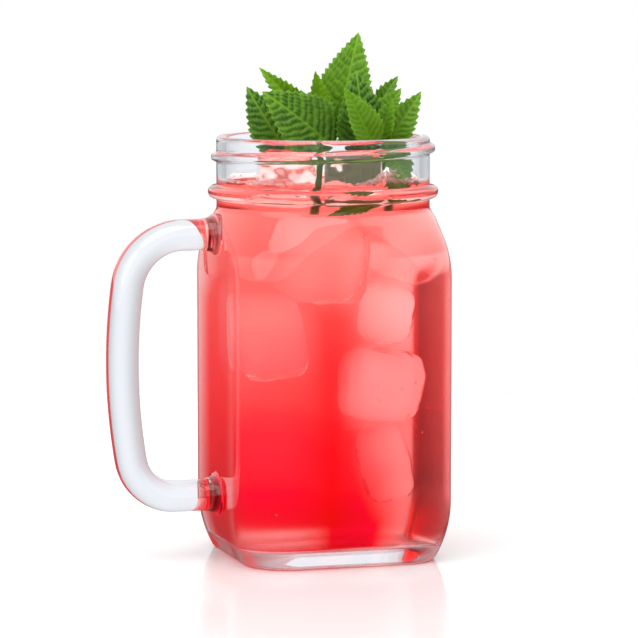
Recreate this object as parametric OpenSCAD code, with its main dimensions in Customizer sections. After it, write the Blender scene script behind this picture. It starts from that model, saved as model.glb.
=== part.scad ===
// Square drinking jar with a handle, filled with iced pink lemonade and topped with mint.
// Everything is drawn about the jar's upright axis, foot on z = 0 and handle towards -X,
// and then moved so that the origin is the bottom centre of the whole.

/* [Jar body] */
// Height of the jar from foot to rim
jar_h = 132.5; // [118:0.5:160]
// Width of the body across two flat sides
body_w = 70.6; // [68:0.1:86]
// Radius of the body's upright corners
corner_r = 15.7; // [11:0.1:19]
// Thickness of the body's side walls
body_wall = 3.4; // [2.6:0.1:4.4]
// Thickness of the floor
floor_t = 6; // [4.5:0.1:8]
// Width of the foot across two flat sides
foot_w = 61.3; // [54:0.1:64]
// Height of the curved heel above the foot
heel_h = 19; // [12:0.5:24]
// Width of the shallow hollow under the foot
kick_d = 44; // [30:0.5:48]
// Depth of the hollow under the foot
kick_depth = 1.6; // [0.8:0.1:2.4]

/* [Neck] */
// Outside diameter of the neck
neck_d = 67; // [62:0.1:72]
// Thickness of the neck's wall
neck_wall = 3; // [2.4:0.1:4]
// Length of the straight neck, from the shoulder to the rim
neck_h = 21.7; // [18:0.1:28]
// Radius of the shoulder's outward curve
shoulder_r = 22; // [14:0.5:26]
// Lean of the shoulder from the vertical
shoulder_lean = 35; // [28:1:45]
// Radius of the hollow between shoulder and neck
neck_fillet = 4; // [2:0.5:6]
// Rounding of the rim
rim_r = 1.4; // [0.6:0.1:1.4]
// Outside diameter of the bead under the thread
bead_d = 72.5; // [69:0.1:76]
// Thickness of that bead
bead_t = 4; // [3:0.1:5]
// Height of the bead's middle below the rim
bead_drop = 17.5; // [14:0.1:19]

/* [Thread] */
// Height that the thread's ridge stands proud of the neck
thread_proud = 1.7; // [0.8:0.1:2.2]
// Height of the ridge at its root
thread_root = 3.2; // [2:0.1:4]
// Rise in a full turn
thread_pitch = 5.6; // [4:0.1:7]
// Height of the ridge below the rim at the front
thread_drop = 5.3; // [4.5:0.1:7]
// Where the ridge begins, in degrees about the axis
thread_from = -205; // [-240:5:-150]
// Where the ridge ends
thread_to = 115; // [60:5:130]

/* [Handle] */
// How far the handle reaches out from the axis
handle_reach = 70.1; // [62:0.1:78]
// Height of the top leg's middle
handle_top = 102.2; // [96:0.1:104]
// Height of the bottom leg's middle
handle_bottom = 20.2; // [18:0.1:30]
// Thickness of the handle, seen from the side
handle_t = 9.8; // [8:0.1:12]
// Breadth of the handle, seen end on
handle_b = 13; // [12.5:0.1:17]
// Radius of the top bend at the handle's middle
bend_top_r = 18; // [14:0.5:24]
// Radius of the bottom bend at the handle's middle
bend_bottom_r = 14; // [11:0.5:20]
// Radius of the grip's slight outward bow
bow_r = 180; // [120:5:400]
// Length of the flare at each root of the handle
flare_l = 5; // [2:0.5:6]
// How much thicker the handle is where it meets the body, as a share
flare_share = 0.35; // [0.1:0.05:0.5]

/* [Drink and ice] */
// Distance of the drink's surface below the rim
drink_drop = 14; // [11:0.5:20]
// Gap kept between the drink and what it touches
fill_gap = 0.04; // [0.02:0.01:0.1]
// Side of an ice cube
ice_side = 18; // [15:0.5:18]
// Ball that rounds an ice cube's edges, as a share of its side
ice_round = 0.68; // [0.62:0.01:0.75]
// How far the left cube's top stands above the drink
ice_left_rise = 10.5; // [6:0.5:12]
// How far the right cube's top stands above the drink
ice_right_rise = 10; // [6:0.5:12]
// Turn of the garnish and ice about the axis
fill_turn = -17; // [-30:1:30]

/* [Mint] */
// Thickness of a leaf
leaf_t = 0.9; // [0.7:0.1:1.2]
// Radius of a sprig's stem
stem_r = 1.1; // [0.8:0.1:1.4]
// Radius of a leaf's own short stalk
petiole_r = 0.6; // [0.5:0.05:0.8]
// Depth of the teeth on a leaf's edge, as a share of its half width
tooth = 0.07; // [0:0.01:0.12]

/* [Hidden] */
$fn = 96;
eps = 0.01;

half = body_w / 2;
foot_half = foot_w / 2;
neck_r = neck_d / 2;
corner_reach = (half - corner_r) * sqrt(2) + corner_r;
// The heel draws in more at the corners than at the flats.
corner_inset = (half - foot_half) * 1.2;
foot_reach = corner_reach - corner_inset;
neck_z = jar_h - neck_h;
bead_z = jar_h - bead_drop;
drink_z = jar_h - drink_drop;
bead_r = bead_t / 2;
arc_steps = 10;

// The cavity follows the outside, one wall further in.
in_half = half - body_wall;
in_corner_r = corner_r - body_wall;
in_reach = (in_half - in_corner_r) * sqrt(2) + in_corner_r;
in_neck_r = neck_r - neck_wall;
in_floor_half = foot_half - body_wall * 0.9;
in_heel_h = heel_h - floor_t / 2;

// The handle's middle line: two legs, two bends and a slightly bowed grip.
grip_x = -handle_reach + handle_t / 2;
bow_x = grip_x + bow_r;
bow_z = (handle_top + handle_bottom) / 2 + 0.8;
flare_steps = 4;
bend_steps = 8;
bow_steps = 6;
handle_sides = 16;
top_turn = asin((handle_top - bend_top_r - bow_z) / (bow_r - bend_top_r));
bottom_turn = asin((bow_z - handle_bottom - bend_bottom_r) / (bow_r - bend_bottom_r));
top_bend_x = bow_x - (bow_r - bend_top_r) * cos(top_turn);
bottom_bend_x = bow_x - (bow_r - bend_bottom_r) * cos(bottom_turn);
bow_turn = (top_turn + bottom_turn) / (bow_steps + 2);
root_x = -half + body_wall * 0.5;

// The bottom centre of everything is the origin.
reach_right = max(bead_d / 2, half);
axis_x = (handle_reach - reach_right) / 2;

// Leaf by leaf, in millimetres about the jar's axis, heights from the rim:
// [base, tip, which way its face looks, half width, fold in degrees, bow as a share of length]
left_leaves = [
    [[4, 6.5, 0], [11.2, 8.5, 31.9], [-0.1, -1, 0.1], 9.6, 14, 0.05],
    [[0.5, 0, 1], [-2.4, -3, 20.2], [0.1, -1, 0.2], 4.6, 28, -0.06],
    [[-2, 3.5, 5], [-20, 0, 21.2], [0, -1, -0.2], 4.4, 22, 0.06],
    [[-11, -1.5, -4], [-23.8, -2.5, 15.3], [-0.4, -1, 0.3], 6.8, 10, 0.08],
    [[4, -7.5, 1], [-18.8, -11, 14], [0.1, -1, 0.3], 9.4, 8, 0.12],
];
right_leaves = [
    [[14, -1.5, -4], [10.3, -5.5, 20.2], [0, -1, 0.35], 8.8, 16, 0.13],
    [[16.5, 8, 8], [23.7, 10, 18.2], [0.2, -1, 0.5], 3.2, 25, 0.05],
    [[15.5, 2, -1], [24.5, 3, 14.6], [-0.35, -1, 0.15], 5.8, 24, 0.05],
    [[16, -12.5, -1], [6.6, -15.5, 15.3], [0.3, -1, 0], 6.4, 34, 0.05],
    [[18, -9.5, -1], [21.6, -11.5, 12], [-0.25, -1, 0.1], 4.6, 34, 0.04],
    [[19.5, -5, -2.5], [30.6, -6, 13.9], [-0.2, -1, -0.1], 5.4, 20, 0.06],
    [[20.5, 0, -2], [28.6, 3, 3.8], [0, -1, 0.6], 3.6, 16, 0.1],
    [[21.5, -2.5, -2.5], [26, -8, -15.5], [0.45, -1, 0.1], 5.2, 12, -0.04],
];
// Each stem: its points from the cut end to the tip, then the height of each leaf's joint on it.
left_stem = [[-2.2, -2.2, -26], [-0.9, -1.4, -8], [1, 1, 6]];
right_stem = [[15, 3.5, -24], [15.5, 3, -8], [16.5, 3.5, 6]];
left_joints = [-1, 2, 5, -6, -2];
right_joints = [-4, 5, 1, -2, -1, -5, -3, -8];
leaf_steps = 14;
stem_sides = 8;
leaf_across = [-1, -0.55, 0, 0.55, 1];

// ---------- outlines ----------

// A point on an arc
function arc_point(c, r, a) = [c[0] + r * cos(a), c[1] + r * sin(a)];
// Points on an arc about c, from angle a to angle b
function arc(c, r, a, b) = [for (i = [0:arc_steps]) arc_point(c, r, a + (b - a) * i / arc_steps)];

// A heel's curve: from foot width x0 at z0 out to x1, where it turns upright at z1
function heel(x0, x1, z0, z1) =
    let (d = x1 - x0, h = z1 - z0, r = (d * d + h * h) / (2 * d))
    arc([x1 - r, z1], r, -asin(h / r), 0);

// A shoulder's curve: from x0 in to the neck at x1, ending upright at z1
function shoulder(x0, x1, z1, r_out, r_in, lean) =
    let (bends = (r_out + r_in) * (1 - cos(lean)),
         slope = (x0 - x1 - bends) / tan(lean),
         z0 = z1 - slope - (r_out + r_in) * sin(lean))
    concat(arc([x0 - r_out, z0], r_out, 0, lean),
           arc([x1 + r_in, z1], r_in, 180 + lean, 180));

// A square with round corners
module rounded_square(w, r) {
    square([w, w - 2 * r], center = true);
    square([w - 2 * r, w], center = true);
    for (x = [-1, 1], y = [-1, 1])
        translate([x * (w / 2 - r), y * (w / 2 - r)]) circle(r);
}

// A prism as wide as a side view's outline, seen along Y
module side_view(curve, top) {
    ring = concat(curve, [[curve[len(curve) - 1][0], top]]);
    mirrored = [for (i = [len(ring) - 1:-1:0]) [-ring[i][0], ring[i][1]]];
    rotate([90, 0, 0]) linear_extrude(4 * half, center = true)
        polygon(concat(ring, mirrored));
}

// A square vessel's shape: flat sides, round corners, a curved heel and a shoulder to a round neck
module vessel(w, r, reach, foot_x, foot_reach, z0, heel_z, neck_radius, r_out, r_in, top) {
    turned = concat([[0, z0]], heel(foot_reach, reach + eps, z0, heel_z),
                    shoulder(reach + eps, neck_radius, neck_z, r_out, r_in, shoulder_lean),
                    [[0, neck_z]]);
    intersection() {
        translate([0, 0, z0]) linear_extrude(neck_z - z0) rounded_square(w, r);
        side_view(heel(foot_x, w / 2, z0, heel_z), neck_z);
        rotate([0, 0, 90]) side_view(heel(foot_x, w / 2, z0, heel_z), neck_z);
        rotate_extrude() polygon(turned);
    }
    translate([0, 0, neck_z - 4]) cylinder(r = neck_radius, h = top - neck_z + 4);
}

// ---------- glass ----------

module outside() {
    vessel(body_w, corner_r, corner_reach, foot_half, foot_reach, 0, heel_h,
           neck_r, shoulder_r, neck_fillet, jar_h - rim_r);
    rotate_extrude() rim_outline();
    translate([0, 0, bead_z]) rotate_extrude()
        translate([bead_d / 2 - bead_r, 0]) circle(bead_r);
    thread();
    handle();
}

// The rim's rounded lip, as a half section
module rim_outline() {
    for (x = [in_neck_r + rim_r, neck_r - rim_r])
        translate([x, jar_h - rim_r]) circle(rim_r);
    translate([in_neck_r + rim_r, jar_h - 2 * rim_r])
        square([neck_wall - 2 * rim_r + eps, 2 * rim_r]);
}

module cavity(shrink = 0, top = jar_h + 1) {
    vessel(2 * (in_half - shrink), in_corner_r - shrink, in_reach - shrink,
           in_floor_half - shrink, in_reach - corner_inset * 0.9 - shrink,
           floor_t + shrink, floor_t + in_heel_h, in_neck_r - shrink,
           shoulder_r - body_wall, neck_fillet + neck_wall, top);
}

// The screw thread's ridge: a tapered helix whose root lies inside the wall
module thread() {
    steps = 56;
    run_out = 4;
    front = -90 + fill_turn;
    function fade(i) = max(0.05, min(1, i / run_out, (steps - i) / run_out));
    function corner(i, k) =
        let (crest = k == 1 || k == 2,
             a = thread_from + fill_turn + (thread_to - thread_from) * i / steps,
             z = jar_h - thread_drop + thread_pitch * (a - front) / 360,
             r = neck_r + (crest ? thread_proud * fade(i) : -neck_wall / 4),
             h = (crest ? 0.22 : 0.5) * thread_root * (k < 2 ? -1 : 1))
        [r * cos(a), r * sin(a), z + h];
    points = [for (i = [0:steps], k = [0:3]) corner(i, k)];
    sides = [for (i = [0:steps - 1], k = [0:3])
        [4 * i + k, 4 * i + (k + 1) % 4, 4 * i + 4 + (k + 1) % 4, 4 * i + 4 + k]];
    triangles = [for (f = sides) each [[f[0], f[1], f[2]], [f[0], f[2], f[3]]]];
    last = 4 * steps;
    polyhedron(points, concat(triangles,
        [[0, 2, 1], [0, 3, 2], [last, last + 1, last + 2], [last, last + 2, last + 3]]));
}

// The handle's middle line as [x, z, way out of the loop], from its top root round to its bottom root
function flare_line(z, a) =
    [for (i = [0:flare_steps]) [-half - flare_l * i / flare_steps, z, a]];
function bend_line(c, r, from, to, steps) =
    [for (i = [0:steps]) let (a = from + (to - from) * i / steps) concat(arc_point(c, r, a), a)];
handle_line = concat(
    [[root_x, handle_top, 90]],
    flare_line(handle_top, 90),
    bend_line([top_bend_x, handle_top - bend_top_r], bend_top_r, 90, 180 - top_turn, bend_steps),
    bend_line([bow_x, bow_z], bow_r, 180 - top_turn + bow_turn, 180 + bottom_turn - bow_turn, bow_steps),
    bend_line([bottom_bend_x, handle_bottom + bend_bottom_r], bend_bottom_r,
              180 + bottom_turn, 270, bend_steps),
    [for (i = [flare_steps:-1:0]) flare_line(handle_bottom, 270)[i]],
    [[root_x, handle_bottom, 270]]
);

// The handle is a stadium section, swept round that line and flared where it meets the body
module handle() {
    n = handle_sides;
    rings = len(handle_line);
    function flare(x) = 1 + flare_share * pow(max(0, 1 - max(0, -half - x) / flare_l), 2);
    points = [for (p = handle_line, k = [0:n - 1])
        let (t = 360 * (k + 0.5) / n,
             r = handle_t / 2 / cos(180 / n),
             out = r * cos(t) * flare(p[0]),
             y = (r * sin(t) + sign(sin(t)) * (handle_b - handle_t) / 2) * flare(p[0]))
        [p[0] + out * cos(p[2]), y, p[1] + out * sin(p[2])]];
    walls = [for (i = [0:rings - 2], k = [0:n - 1])
        let (a = n * i + k, b = n * i + (k + 1) % n)
        each [[a, b + n, b], [a, a + n, b + n]]];
    ends = [for (k = [1:n - 2]) each [[0, k, k + 1], n * (rings - 1) * [1, 1, 1] + [0, k + 1, k]]];
    polyhedron(points, concat(walls, ends));
}

module kick() {
    r = (pow(kick_d / 2, 2) + pow(kick_depth, 2)) / (2 * kick_depth);
    translate([0, 0, kick_depth - r]) sphere(r);
}

module glass() {
    color("azure") difference() {
        outside();
        cavity();
        kick();
    }
}

// ---------- drink and ice ----------

// One melted cube: its middle about the axis, rise, turn and tilt; grow makes its hole in the drink
module ice(place, rise, turn, tilt, grow = 0) {
    side = ice_side + 2 * grow;
    rotate([0, 0, fill_turn])
        translate([place[0], place[1], drink_z + rise - ice_side / 2])
            rotate([tilt, 0, turn])
                intersection() {
                    cube(side, center = true);
                    sphere(ice_side * ice_round + grow);
                }
}

module ice_left(grow = 0) {
    color("aliceblue") ice([-11.3, -13], ice_left_rise, 6, 4, grow);
}

module ice_right(grow = 0) {
    color("aliceblue") ice([9.5, -14.5], ice_right_rise, -6, -5, grow);
}

module lemonade() {
    color("lightcoral") difference() {
        cavity(shrink = fill_gap, top = drink_z);
        ice_left(fill_gap);
        ice_right(fill_gap);
        garnish_frame() {
            stem(left_stem, fill_gap);
            stem(right_stem, fill_gap);
            leaf(right_leaves[7], fill_gap);
        }
    }
}

// ---------- mint ----------

// Places what is drawn with heights from the rim
module garnish_frame() {
    translate([0, 0, jar_h]) rotate([0, 0, fill_turn]) children();
}

function unit(v) = v / norm(v);
// Half width of a leaf at share s of its length, with its teeth
function leaf_width(s, i) =
    max(0.06, 1.32 * pow(sin(180 * pow(s, 0.72)), 0.85) * (1 - 0.28 * s))
    * (1 + tooth * (i % 2 == 0 ? 1 : -1));

// A point on a leaf's midrib, at share s of its length
function midrib(row, s) =
    let (run = row[1] - row[0], up = unit(run), face = cross(up, unit(cross(row[2], up))))
    row[0] + run * s + face * (4 * row[5] * norm(run) * s * (1 - s));

// A mint leaf: a thin toothed blade that folds along its midrib and bows along its length
module leaf(row, grow = 0) {
    up = unit(row[1] - row[0]);
    side = unit(cross(row[2], up));
    face = cross(up, side);
    thick = leaf_t / 2 + grow;
    n = len(leaf_across);
    function blade(i, k) =
        let (s = i / leaf_steps, t = leaf_across[k],
             w = (row[3] + grow) * leaf_width(s, i) / 1.2)
        midrib(row, s) + side * (w * t * cos(row[4])) + face * (w * abs(t) * sin(row[4]));
    points = [for (f = [1, -1], i = [0:leaf_steps], k = [0:n - 1])
        blade(i, k) + face * f * thick * (abs(leaf_across[k]) == 1 ? 0.5 : 1)];
    back = n * (leaf_steps + 1);
    quads = [for (i = [0:leaf_steps - 1], k = [0:n - 2])
        [n * i + k, n * i + k + 1, n * (i + 1) + k + 1, n * (i + 1) + k]];
    front_faces = [for (q = quads) each [[q[0], q[1], q[2]], [q[0], q[2], q[3]]]];
    back_faces = [for (f = front_faces) [f[0] + back, f[2] + back, f[1] + back]];
    rim = concat([for (k = [0:n - 1]) k], [for (i = [1:leaf_steps]) n * i + n - 1],
                 [for (k = [n - 2:-1:0]) n * leaf_steps + k],
                 [for (i = [leaf_steps - 1:-1:1]) n * i]);
    edge = [for (j = [0:len(rim) - 1]) let (a = rim[j], b = rim[(j + 1) % len(rim)])
        each [[a, a + back, b + back], [a, b + back, b]]];
    polyhedron(points, concat(front_faces, back_faces, edge));
}

// A round rod from p to q
module rod(p, q, r) {
    d = q - p;
    translate(p) rotate([0, acos(d[2] / norm(d)), atan2(d[1], d[0])]) cylinder(r = r, h = norm(d));
}

// A square mint stem with level ends, one ring of points for each point of its route
module stem(points, grow = 0) {
    n = stem_sides;
    top = n * (len(points) - 1);
    ring = [for (p = points, k = [0:n - 1])
        let (t = 360 * k / n, r = (stem_r + grow) * (k % 2 == 0 ? 1.2 : 1))
        [p[0] + r * cos(t), p[1] + r * sin(t), p[2]]];
    walls = [for (i = [0:len(points) - 2], k = [0:n - 1])
        let (a = n * i + k, b = n * i + (k + 1) % n)
        each [[a, b + n, b], [a, a + n, b + n]]];
    ends = [for (k = [1:n - 2]) each [[0, k, k + 1], [top, top + k + 1, top + k]]];
    polyhedron(ring, concat(walls, ends));
}

// The point on a stem at height z
function on_stem(points, z) =
    let (i = z < points[1][2] ? 0 : 1, a = points[i], b = points[i + 1])
    a + (b - a) * (z - a[2]) / (b[2] - a[2]);

module sprig(points, leaves, joints) {
    stem(points);
    for (i = [0:len(leaves) - 1]) {
        leaf(leaves[i]);
        rod(on_stem(points, joints[i]), midrib(leaves[i], 0.1), petiole_r);
    }
}

module mint_sprig_left() {
    color("forestgreen") garnish_frame() sprig(left_stem, left_leaves, left_joints);
}

module mint_sprig_right() {
    color("forestgreen") garnish_frame() sprig(right_stem, right_leaves, right_joints);
}

module place() { translate([axis_x, 0, 0]) children(); }

place() glass();
place() lemonade();
place() ice_left();
place() ice_right();
place() mint_sprig_left();
place() mint_sprig_right();
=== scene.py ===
"""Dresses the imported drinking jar: clear glass, iced pink lemonade, foam and mint, in a pale studio."""

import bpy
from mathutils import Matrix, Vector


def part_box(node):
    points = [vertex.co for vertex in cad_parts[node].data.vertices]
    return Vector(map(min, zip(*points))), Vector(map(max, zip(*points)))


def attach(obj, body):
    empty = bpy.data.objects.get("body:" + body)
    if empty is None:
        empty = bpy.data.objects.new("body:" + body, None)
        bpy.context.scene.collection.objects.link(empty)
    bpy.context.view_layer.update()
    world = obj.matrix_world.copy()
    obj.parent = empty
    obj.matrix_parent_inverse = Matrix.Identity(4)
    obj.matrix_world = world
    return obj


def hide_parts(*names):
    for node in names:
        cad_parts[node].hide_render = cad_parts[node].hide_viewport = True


bl_info = {
    "name": "Iced Lemonade Jar",
    "version": (1, 0, 0),
    "blender": (4, 5, 0),
    "location": "3D View > Sidebar > Lemonade",
    "description": "Makes the glass, drink, ice, foam and mint of a handled drinking jar",
    "category": "Object",
}

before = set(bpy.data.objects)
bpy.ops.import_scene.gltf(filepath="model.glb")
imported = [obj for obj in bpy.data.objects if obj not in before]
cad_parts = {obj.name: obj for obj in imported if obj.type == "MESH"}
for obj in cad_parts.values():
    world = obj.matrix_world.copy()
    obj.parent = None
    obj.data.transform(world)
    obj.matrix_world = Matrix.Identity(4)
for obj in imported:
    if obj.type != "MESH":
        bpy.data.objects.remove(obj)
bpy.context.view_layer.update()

import math

import bmesh
import bpy
import numpy as np
from bpy.props import FloatProperty, FloatVectorProperty, PointerProperty
from mathutils import Euler, Matrix, Vector, noise
from mathutils.bvhtree import BVHTree

MM = 0.001
SQRT2 = math.sqrt(2)

# Heights and the jar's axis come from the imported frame, in millimetres.
JAR_LOW, JAR_HIGH = [Vector(corner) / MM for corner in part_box("glass")]
DRINK_LOW, DRINK_HIGH = [Vector(corner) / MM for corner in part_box("lemonade")]
AXIS = Vector(((DRINK_LOW.x + DRINK_HIGH.x) / 2, 0, 0))
RIM = JAR_HIGH.z
DRINK_TOP = DRINK_HIGH.z
FLOOR_TOP = DRINK_LOW.z
REACH = AXIS.x - JAR_LOW.x
FILL_TURN = math.radians(-17)


def length(name, description, millimetres, **more):
    """A size in metres whose default is given in millimetres."""
    return FloatProperty(name=name, description=description, default=millimetres * MM,
                         min=0.0, unit="LENGTH", **more)


def amount(name, description, value, **more):
    """A plain number from zero up."""
    return FloatProperty(name=name, description=description, default=value, **{"min": 0.0, **more})


def tint(name, description, rgb):
    return FloatVectorProperty(name=name, description=description, default=rgb,
                               size=3, min=0.0, max=1.0, subtype="COLOR")


class JarSizes(bpy.types.PropertyGroup):
    """Sizes of the clear glass jar."""

    body_width: length("Body width", "Across two flat sides", 70.6)
    corner_reach: length("Corner reach", "From the axis to a rounded corner", 43.4)
    foot_width: length("Foot width", "Across two flat sides of the foot", 61.3)
    foot_reach: length("Foot reach", "From the axis to a corner of the foot", 37.8)
    heel_height: length("Heel height", "Height of the curve above the foot", 19)
    wall: length("Wall", "Thickness of the body's sides", 3.4)
    neck_radius: length("Neck radius", "Outside radius of the neck", 33.5)
    neck_wall: length("Neck wall", "Thickness of the neck", 3)
    neck_height: length("Neck height", "From the shoulder's end to the rim", 21.7)
    bead_radius: length("Bead radius", "Outside radius of the bead under the thread", 36.2)
    thread_proud: length("Thread height", "How far the thread stands out", 1.65)
    handle_thickness: length("Handle thickness", "Seen from the side", 9.7)
    handle_breadth: length("Handle breadth", "Seen end on", 12.8)
    glass_tint: tint("Glass tint", "Colour of the clear glass", (0.985, 0.992, 0.995))


class DrinkLook(bpy.types.PropertyGroup):
    """Colour and depth of the lemonade."""

    absorb_colour: tint("Absorption colour", "What a depth of the drink lets through", (1.0, 0.29, 0.25))
    absorb_density: amount("Density", "Absorption of the drink", 23.0)
    cloudiness: amount("Cloudiness", "Blur of what is seen through the drink", 0.25, max=1.0)
    # Painted light: the drink is made paler toward its four corners, partly for the thinner drink there and
    # partly to stand in for the brighter light that comes through the corners.
    painted_corner_light: amount("Corner paleness", "Loss of colour at the thin corners", 0.6, max=1.0)
    ice_paleness: amount("Ice paleness", "Loss of colour where ice lies near the glass", 0.74, max=1.0)
    base_colour: amount("Colour at the base", "Share of its colour at the jar's floor", 0.4, max=1.0)
    bite: length("Bite", "How far the drink reaches into the glass", 0.35)
    meniscus: length("Meniscus", "Rise of the drink against the glass", 1.2)
    climb: length("Climb", "Height of the foam's peak against the glass", 4.6)


class IceLook(bpy.types.PropertyGroup):
    """Melting of the ice."""

    squareness: amount("Squareness", "Higher is squarer", 4.2, min=2.0)
    unevenness: length("Unevenness", "Depth of the melted dents", 0.9)
    overlap: length("Overlap", "How far the ice reaches into the drink round it", 0.25)


class MintLook(bpy.types.PropertyGroup):
    """Colour and relief of the mint."""

    leaf_green: tint("Leaf", "Colour of a grown leaf", (0.011, 0.078, 0.0015))
    young_green: tint("Young leaf", "Colour of the leaf between its veins in the light", (0.15, 0.34, 0.002))
    vein_green: tint("Veins", "Colour along the veins", (0.2, 0.4, 0.012))
    quilting: length("Quilting", "Height of the leaf between its veins", 0.62)
    thickness: length("Thickness", "Thickness of a leaf", 0.4)


class StageLook(bpy.types.PropertyGroup):
    """Floor, light and camera."""

    floor_colour: tint("Floor", "Colour of the floor", (0.93, 0.93, 0.93))
    room_light: amount("Room light", "Strength of the light all round", 1.0)
    glass_light: amount("Light in glass", "Strength seen through clear glass", 0.8)
    drink_light: amount("Light in drink", "Strength seen through the drink", 1.35)
    floor_reach: length("Floor reach", "From the middle of the floor to its edge", 420)
    camera_distance: length("Camera distance", "Along the floor from the jar's axis", 1119.2)
    camera_height: length("Camera height", "Above the floor", 190.5)


# ---------- mesh helpers ----------

def piece_from(name, points, faces, material=None):
    """A new smooth object at the origin, from points in millimetres about the jar's axis."""
    mesh = bpy.data.meshes.new(name)
    mesh.from_pydata(((np.asarray(points, float) + np.array(AXIS)) * MM).tolist(), [], faces)
    smooth_all(mesh)
    mesh.update()
    piece = bpy.data.objects.new(name, mesh)
    bpy.context.scene.collection.objects.link(piece)
    if material:
        mesh.materials.append(material)
    return piece


def smooth_all(mesh):
    mesh.polygons.foreach_set("use_smooth", [True] * len(mesh.polygons))


def outward(mesh):
    """Makes a closed mesh's faces point out."""
    work = bmesh.new()
    work.from_mesh(mesh)
    bmesh.ops.recalc_face_normals(work, faces=work.faces)
    work.to_mesh(mesh)
    work.free()


def closed_piece(name, points, faces, material=None):
    piece = piece_from(name, points, faces, material)
    outward(piece.data)
    return piece


def turned_faces(rows, columns):
    """Quads between rings that close on themselves."""
    return [(i * columns + j, i * columns + (j + 1) % columns,
             (i + 1) * columns + (j + 1) % columns, (i + 1) * columns + j)
            for i in range(rows - 1) for j in range(columns)]


def grid_faces(rows, columns):
    """Quads of an open grid."""
    return [(i * columns + j, i * columns + j + 1, (i + 1) * columns + j + 1, (i + 1) * columns + j)
            for i in range(rows - 1) for j in range(columns - 1)]


def ring_points(radii, angles, heights):
    """Points round the axis, one to an angle."""
    return np.column_stack([radii * np.cos(angles), radii * np.sin(angles), heights + 0 * angles])


def smooth_step(share):
    return share * share * (3 - 2 * share)


def within_one(value):
    return min(1, max(0, value))


def closed_loft(rings, start, end):
    """Points and faces of a tube of rings, closed by a fan to a point at each end."""
    rows, columns = len(rings), len(rings[0])
    points = np.vstack([np.reshape(rings, (-1, 3)), [start], [end]])
    faces = turned_faces(rows, columns)
    low, high, last = rows * columns, rows * columns + 1, (rows - 1) * columns
    faces += [(low, (j + 1) % columns, j) for j in range(columns)]
    faces += [(high, last + j, last + (j + 1) % columns) for j in range(columns)]
    return points, faces


def baked_mesh(piece):
    """Turns the piece's modifiers into plain mesh."""
    graph = bpy.context.evaluated_depsgraph_get()
    mesh = bpy.data.meshes.new_from_object(piece.evaluated_get(graph))
    piece.modifiers.clear()
    old, piece.data = piece.data, mesh
    bpy.data.meshes.remove(old)


def combine(piece, tool, operation):
    """Joins tool to piece, or cuts it away, and removes the tool."""
    step = piece.modifiers.new(operation.title(), "BOOLEAN")
    step.operation, step.solver, step.object = operation, "EXACT", tool
    bpy.context.view_layer.update()
    baked_mesh(piece)
    bpy.data.objects.remove(tool)
    smooth_all(piece.data)


def dress(piece, name, slot_name, *nodes):
    """Names a finished piece, hangs it on the root body and hides the CAD parts it stands for; slot_name is
    not used.
    """
    piece.name = name
    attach(piece, "root")
    if nodes:
        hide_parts(*nodes)


# ---------- materials ----------

def add_node(tree, kind, inputs=None, **settings):
    """A node with its settings, whose inputs are given a value or linked to another node's output."""
    node = tree.nodes.new(kind)
    for key, value in settings.items():
        setattr(node, key, value)
    fill_inputs(tree, node, inputs or {})
    return node


def fill_inputs(tree, node, inputs):
    for key, value in inputs.items():
        if hasattr(value, "is_output"):
            tree.links.new(value, node.inputs[key])
        else:
            node.inputs[key].default_value = value


def maths(tree, operation, *values):
    return add_node(tree, "ShaderNodeMath", dict(enumerate(values)), operation=operation).outputs[0]


def blend(tree, factor, low, high):
    """A colour between two, each a colour or another node's output."""
    node = add_node(tree, "ShaderNodeMix", {"Factor": factor}, data_type="RGBA")
    slots = [i for i, slot in enumerate(node.inputs) if slot.type == "RGBA"]
    colours = [c if hasattr(c, "is_output") else (*c, 1) for c in (low, high)]
    fill_inputs(tree, node, dict(zip(slots, colours)))
    return [slot for slot in node.outputs if slot.type == "RGBA"][0]


def point_value(tree, name):
    return add_node(tree, "ShaderNodeAttribute", attribute_name=name).outputs["Fac"]


def object_noise(tree, place, scale, **more):
    """Noise laid out in the object's own space."""
    inputs = {"Vector": place.outputs["Object"], "Scale": scale}
    inputs.update({key.title(): value for key, value in more.items()})
    return add_node(tree, "ShaderNodeTexNoise", inputs).outputs["Fac"]


def roughen(tree, shader, height, strength, distance):
    """Bump in the shader's normal."""
    bump = add_node(tree, "ShaderNodeBump", {"Height": height, "Strength": strength, "Distance": distance})
    tree.links.new(bump.outputs["Normal"], shader.inputs["Normal"])


def new_material(name):
    material = bpy.data.materials.new(name)
    material.use_nodes = True
    tree = material.node_tree
    return material, tree, tree.nodes["Principled BSDF"]


def clear_material(name, colour, ior, roughness, transmission=1.0, absorb=None):
    """A clear substance, with plain absorption if absorb gives its colour and density."""
    material, tree, shader = new_material(name)
    fill_inputs(tree, shader, {"Base Color": (*colour, 1), "IOR": ior, "Roughness": roughness,
                               "Transmission Weight": transmission})
    if absorb:
        colour, density = absorb
        volume = add_node(tree, "ShaderNodeVolumeAbsorption", {"Color": (*colour, 1), "Density": density})
        tree.links.new(volume.outputs["Volume"], tree.nodes["Material Output"].inputs["Volume"])
    return material, tree, shader


# ---------- jar ----------

def outline(angles, half, reach):
    """Distance from the axis of a rounded square, which turns into a circle as its corners draw in."""
    half = min(half, reach)
    corner = min((SQRT2 * half - reach) / (SQRT2 - 1), half)
    centre = half - corner
    turn = np.abs((angles + math.pi / 4) % (math.pi / 2) - math.pi / 4)
    along = centre * (np.cos(turn) + np.sin(turn))
    arc = along + np.sqrt(np.maximum(corner ** 2 - 2 * centre ** 2 + along ** 2, 0))
    return np.where(half * np.tan(turn) <= centre, half / np.cos(turn), arc)


def heel_at(z, low, high, z_low, z_high):
    """A heel's curve, from low at z_low out to high where it turns upright at z_high."""
    if z >= z_high:
        return high
    rise, run = z_high - z_low, high - low
    radius = (run ** 2 + rise ** 2) / (2 * run)
    return high - radius + math.sqrt(radius ** 2 - (z_high - max(z, z_low)) ** 2)


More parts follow.
